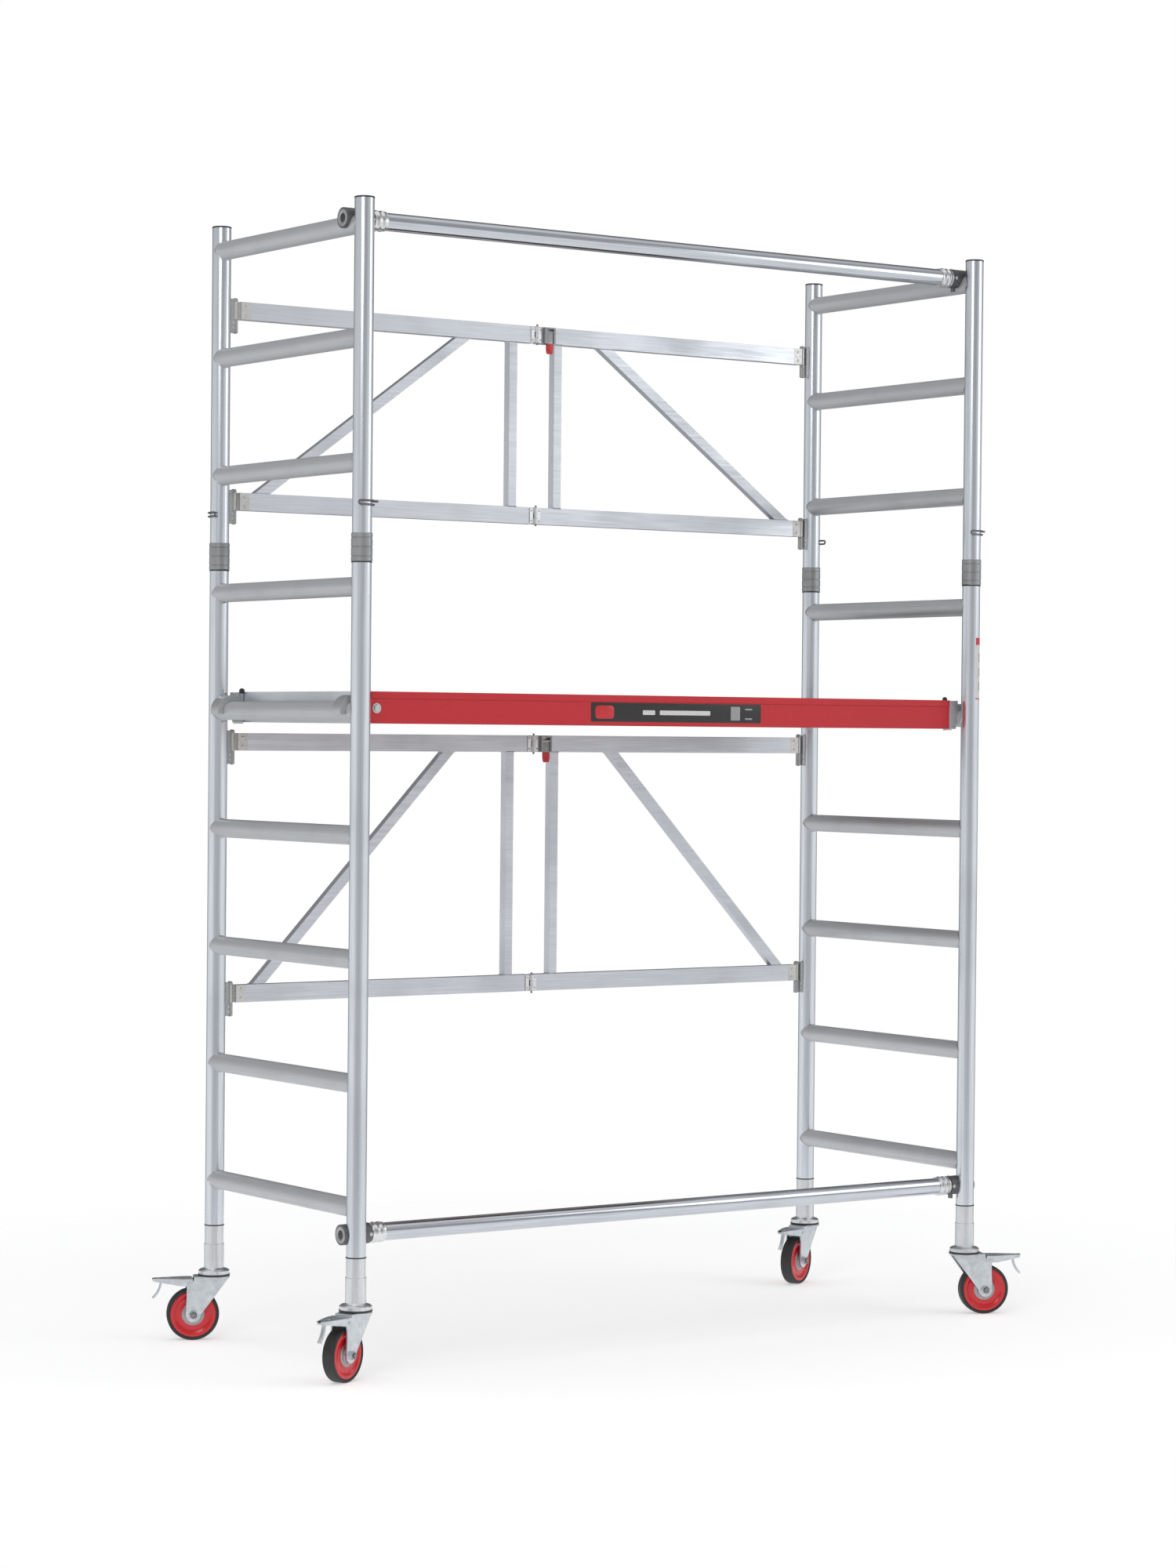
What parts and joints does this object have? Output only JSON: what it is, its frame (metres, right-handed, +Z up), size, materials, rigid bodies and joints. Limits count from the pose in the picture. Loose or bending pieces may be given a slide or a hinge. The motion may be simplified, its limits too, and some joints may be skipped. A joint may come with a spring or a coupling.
{
  "type": "mobile tower scaffold",
  "caption": "Aluminium access tower on braked swivel casters with ladder ends, folding back frames, clip-on front braces and a hooked platform with a trapdoor.",
  "frame": {"origin": "on the floor under the middle of the tower", "axes": "+X along the platform to the right ladder, +Y from the braced front to the folding back frames, +Z up"},
  "size_m": [2.0702, 0.7861, 2.659],
  "materials": {
    "polished_tube": "bright drawn aluminium",
    "rung_aluminium": "matt ribbed aluminium",
    "frame_aluminium": "mill finish rectangular tube",
    "brace_aluminium": "polished",
    "cast_aluminium": "sand cast, dull",
    "collar_grey": "moulded",
    "zinc_steel": "zinc plated",
    "dark_steel": "blackened",
    "black_plastic": "moulded",
    "red_plastic": "moulded",
    "red_beam": "powder coated",
    "red_rim": "moulded nylon",
    "tyre_rubber": "smooth tread",
    "plywood": "phenolic faced plywood"
  },
  "bodies": {
    "tower": {"lower_left_uprights": "polished_tube", "lower_right_uprights": "polished_tube", "upper_left_uprights": "polished_tube", "upper_right_uprights": "polished_tube", "lower_left_rungs": "rung_aluminium", "lower_right_rungs": "rung_aluminium", "upper_left_rungs": "rung_aluminium", "upper_right_rungs": "rung_aluminium", "spigots": "polished_tube", "joint_collars": "collar_grey", "top_caps": "black_plastic", "caster_stems": "zinc_steel", "bearing_seals": "black_plastic", "lower_left_gate": "frame_aluminium", "lower_right_gate": "frame_aluminium", "upper_left_gate": "frame_aluminium", "upper_right_gate": "frame_aluminium", "hinge_brackets": "cast_aluminium", "gate_end_blocks": "frame_aluminium", "hinge_pins": "dark_steel", "mid_hinge_leaves": "brace_aluminium", "latch_housings": "cast_aluminium", "brace_tubes": "brace_aluminium", "brace_claws": "cast_aluminium", "side_beams": "red_beam", "end_rails": "rung_aluminium", "rung_hooks": "cast_aluminium", "cross_members": "frame_aluminium", "deck_board": "plywood", "hatch_hinge_leaves": "zinc_steel"},
    "caster_fl": {"fork_fl": "zinc_steel"},
    "wheel_fl": {"rim_fl": "red_rim", "tyre_fl": "tyre_rubber"},
    "brake_fl": {"pedal_fl": "zinc_steel"},
    "caster_fr": {"fork_fr": "zinc_steel"},
    "wheel_fr": {"rim_fr": "red_rim", "tyre_fr": "tyre_rubber"},
    "brake_fr": {"pedal_fr": "zinc_steel"},
    "caster_bl": {"fork_bl": "zinc_steel"},
    "wheel_bl": {"rim_bl": "red_rim", "tyre_bl": "tyre_rubber"},
    "brake_bl": {"pedal_bl": "zinc_steel"},
    "caster_br": {"fork_br": "zinc_steel"},
    "wheel_br": {"rim_br": "red_rim", "tyre_br": "tyre_rubber"},
    "brake_br": {"pedal_br": "zinc_steel"},
    "lower_latch": {"lower_fold_latch": "red_plastic"},
    "upper_latch": {"upper_fold_latch": "red_plastic"},
    "wind_lock_left": {"wind_lock_left": "zinc_steel"},
    "wind_lock_right": {"wind_lock_right": "zinc_steel"},
    "claw_catch_top_left": {"claw_catch_top_left": "dark_steel"},
    "claw_catch_top_right": {"claw_catch_top_right": "dark_steel"},
    "claw_catch_bottom_left": {"claw_catch_bottom_left": "dark_steel"},
    "claw_catch_bottom_right": {"claw_catch_bottom_right": "dark_steel"},
    "lock_clip_fl": {"lock_clip_fl": "dark_steel"},
    "lock_clip_fr": {"lock_clip_fr": "dark_steel"},
    "lock_clip_bl": {"lock_clip_bl": "dark_steel"},
    "lock_clip_br": {"lock_clip_br": "dark_steel"},
    "hatch": {"hatch_board": "plywood"}
  },
  "joints": [
    {"name": "caster_fl_swivel", "type": "hinge", "parent": "tower", "child": "caster_fl", "pos_m": [-0.9, -0.325, 0.149], "axis": [0, 0, 1], "continuous": true},
    {"name": "wheel_fl_spin", "type": "hinge", "parent": "caster_fl", "child": "wheel_fl", "pos_m": [-0.94532, -0.34613, 0.0625], "axis": [0.4226, -0.9063, 0], "continuous": true},
    {"name": "brake_fl_press", "type": "hinge", "parent": "caster_fl", "child": "brake_fl", "pos_m": [-0.95619, -0.3512, 0.137], "axis": [0.4226, -0.9063, 0], "range_deg": [0, 9], "stiffness_Nm_per_rad": 2, "springref_deg": -5.73},
    {"name": "caster_fr_swivel", "type": "hinge", "parent": "tower", "child": "caster_fr", "pos_m": [0.9, -0.325, 0.149], "axis": [0, 0, 1], "continuous": true},
    {"name": "wheel_fr_spin", "type": "hinge", "parent": "caster_fr", "child": "wheel_fr", "pos_m": [0.94532, -0.34613, 0.0625], "axis": [0.4226, 0.9063, 0], "continuous": true},
    {"name": "brake_fr_press", "type": "hinge", "parent": "caster_fr", "child": "brake_fr", "pos_m": [0.95619, -0.3512, 0.137], "axis": [0.4226, 0.9063, 0], "range_deg": [0, 9], "stiffness_Nm_per_rad": 2, "springref_deg": -5.73},
    {"name": "caster_bl_swivel", "type": "hinge", "parent": "tower", "child": "caster_bl", "pos_m": [-0.9, 0.325, 0.149], "axis": [0, 0, 1], "continuous": true},
    {"name": "wheel_bl_spin", "type": "hinge", "parent": "caster_bl", "child": "wheel_bl", "pos_m": [-0.94532, 0.34613, 0.0625], "axis": [-0.4226, -0.9063, 0], "continuous": true},
    {"name": "brake_bl_press", "type": "hinge", "parent": "caster_bl", "child": "brake_bl", "pos_m": [-0.95619, 0.3512, 0.137], "axis": [-0.4226, -0.9063, 0], "range_deg": [0, 9], "stiffness_Nm_per_rad": 2, "springref_deg": -5.73},
    {"name": "caster_br_swivel", "type": "hinge", "parent": "tower", "child": "caster_br", "pos_m": [0.9, 0.325, 0.149], "axis": [0, 0, 1], "continuous": true},
    {"name": "wheel_br_spin", "type": "hinge", "parent": "caster_br", "child": "wheel_br", "pos_m": [0.85469, 0.30387, 0.0625], "axis": [0.4226, -0.9063, 0], "continuous": true},
    {"name": "brake_br_press", "type": "hinge", "parent": "caster_br", "child": "brake_br", "pos_m": [0.84381, 0.2988, 0.137], "axis": [0.4226, -0.9063, 0], "range_deg": [0, 9], "stiffness_Nm_per_rad": 2, "springref_deg": -5.73},
    {"name": "lower_latch_flip", "type": "hinge", "parent": "tower", "child": "lower_latch", "pos_m": [0.036, 0.3055, 1.439], "axis": [-1, 0, 0], "range_deg": [0, 50], "stiffness_Nm_per_rad": 0.3, "springref_deg": -11.46},
    {"name": "upper_latch_flip", "type": "hinge", "parent": "tower", "child": "upper_latch", "pos_m": [0.036, 0.3055, 2.47], "axis": [-1, 0, 0], "range_deg": [0, 50], "stiffness_Nm_per_rad": 0.3, "springref_deg": -11.46},
    {"name": "wind_lock_left_swing", "type": "hinge", "parent": "tower", "child": "wind_lock_left", "pos_m": [-0.8737, 0.2582, 1.51], "axis": [0, -1, 0], "range_deg": [0, 28], "stiffness_Nm_per_rad": 0.5, "springref_deg": -11.46},
    {"name": "wind_lock_right_swing", "type": "hinge", "parent": "tower", "child": "wind_lock_right", "pos_m": [0.8737, -0.2582, 1.51], "axis": [0, 1, 0], "range_deg": [0, 28], "stiffness_Nm_per_rad": 0.5, "springref_deg": -11.46},
    {"name": "claw_catch_top_left_squeeze", "type": "hinge", "parent": "tower", "child": "claw_catch_top_left", "pos_m": [-0.869, -0.2785, 2.602], "axis": [1, 0, 0], "range_deg": [0, 25], "stiffness_Nm_per_rad": 0.2, "springref_deg": -11.46},
    {"name": "claw_catch_top_right_squeeze", "type": "hinge", "parent": "tower", "child": "claw_catch_top_right", "pos_m": [0.869, -0.2785, 2.602], "axis": [1, 0, 0], "range_deg": [0, 25], "stiffness_Nm_per_rad": 0.2, "springref_deg": -11.46},
    {"name": "claw_catch_bottom_left_squeeze", "type": "hinge", "parent": "tower", "child": "claw_catch_bottom_left", "pos_m": [-0.869, -0.305, 0.313], "axis": [1, 0, 0], "range_deg": [0, 25], "stiffness_Nm_per_rad": 0.2, "springref_deg": -11.46},
    {"name": "claw_catch_bottom_right_squeeze", "type": "hinge", "parent": "tower", "child": "claw_catch_bottom_right", "pos_m": [0.869, -0.305, 0.313], "axis": [1, 0, 0], "range_deg": [0, 25], "stiffness_Nm_per_rad": 0.2, "springref_deg": -11.46},
    {"name": "lock_clip_fl_pull", "type": "slide", "parent": "tower", "child": "lock_clip_fl", "axis": [1, 0, 0], "range_m": [0, 0.026], "stiffness_N_per_m": 200, "springref_m": -0.002},
    {"name": "lock_clip_fr_pull", "type": "slide", "parent": "tower", "child": "lock_clip_fr", "axis": [1, 0, 0], "range_m": [0, 0.026], "stiffness_N_per_m": 200, "springref_m": -0.002},
    {"name": "lock_clip_bl_pull", "type": "slide", "parent": "tower", "child": "lock_clip_bl", "axis": [0, 1, 0], "range_m": [0, 0.026], "stiffness_N_per_m": 200, "springref_m": -0.002},
    {"name": "lock_clip_br_pull", "type": "slide", "parent": "tower", "child": "lock_clip_br", "axis": [0, 1, 0], "range_m": [0, 0.026], "stiffness_N_per_m": 200, "springref_m": -0.002},
    {"name": "hatch_open", "type": "hinge", "parent": "tower", "child": "hatch", "pos_m": [-0.4097, 0.228, 1.548], "axis": [-1, 0, 0], "range_deg": [0, 95]}
  ]
}
